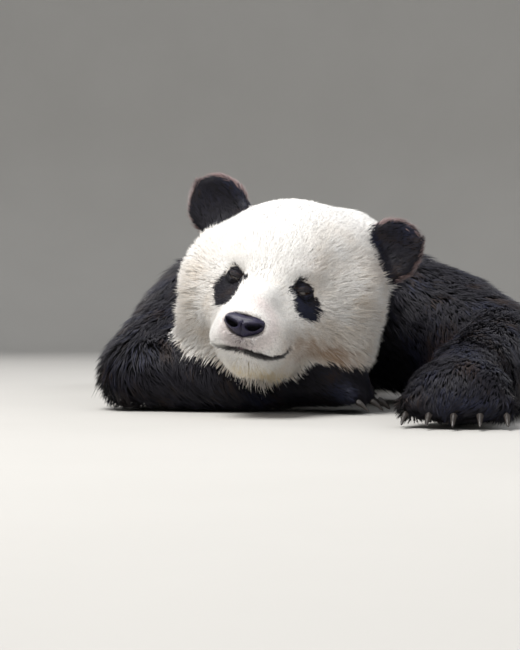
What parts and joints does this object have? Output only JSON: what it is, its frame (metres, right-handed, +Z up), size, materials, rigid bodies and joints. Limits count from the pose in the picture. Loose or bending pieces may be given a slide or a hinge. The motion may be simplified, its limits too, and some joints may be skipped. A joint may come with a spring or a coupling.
{
  "type": "giant panda, life-size still model",
  "caption": "Life-size giant panda resting on its belly, chin low over a folded foreleg, the other foreleg stretched out in front.",
  "frame": {"origin": "middle of the bounding box, at floor level", "axes": "+Z up, -Y the way the animal faces, +X the animal's left side"},
  "size_m": [0.7252, 1.4476, 0.33],
  "materials": {
    "white_fur": "thick soft cream-white fur",
    "black_fur": "thick black fur with a blue-brown sheen",
    "nose_skin": "moist black bare skin",
    "eye_surface": "wet dark brown eye",
    "claw_horn": "grey-brown horn"
  },
  "bodies": {
    "root": {"claw_fore_left_1": "claw_horn", "claw_fore_left_2": "claw_horn", "claw_fore_left_3": "claw_horn", "claw_fore_left_4": "claw_horn", "claw_fore_left_5": "claw_horn", "claw_fore_right_1": "claw_horn", "claw_fore_right_2": "claw_horn", "claw_fore_right_3": "claw_horn", "claw_fore_right_4": "claw_horn", "claw_fore_right_5": "claw_horn", "claw_hind_left_1": "claw_horn", "claw_hind_left_2": "claw_horn", "claw_hind_left_3": "claw_horn", "claw_hind_left_4": "claw_horn", "claw_hind_left_5": "claw_horn", "claw_hind_right_1": "claw_horn", "claw_hind_right_2": "claw_horn", "claw_hind_right_3": "claw_horn", "claw_hind_right_4": "claw_horn", "claw_hind_right_5": "claw_horn", "ear_left": "black_fur", "ear_right": "black_fur", "eye_left": "eye_surface", "eye_right": "eye_surface", "foreleg_left_lower": "black_fur", "foreleg_left_upper": "black_fur", "foreleg_right_lower": "black_fur", "foreleg_right_upper": "black_fur", "forepaw_left": "black_fur", "forepaw_right": "black_fur", "head": "white_fur", "hindleg_left_lower": "black_fur", "hindleg_left_upper": "black_fur", "hindleg_right_lower": "black_fur", "hindleg_right_upper": "black_fur", "hindpaw_left": "black_fur", "hindpaw_right": "black_fur", "neck": "white_fur", "nose": "nose_skin", "shoulders": "black_fur", "tail": "white_fur", "trunk": "white_fur"}
  },
  "joints": []
}
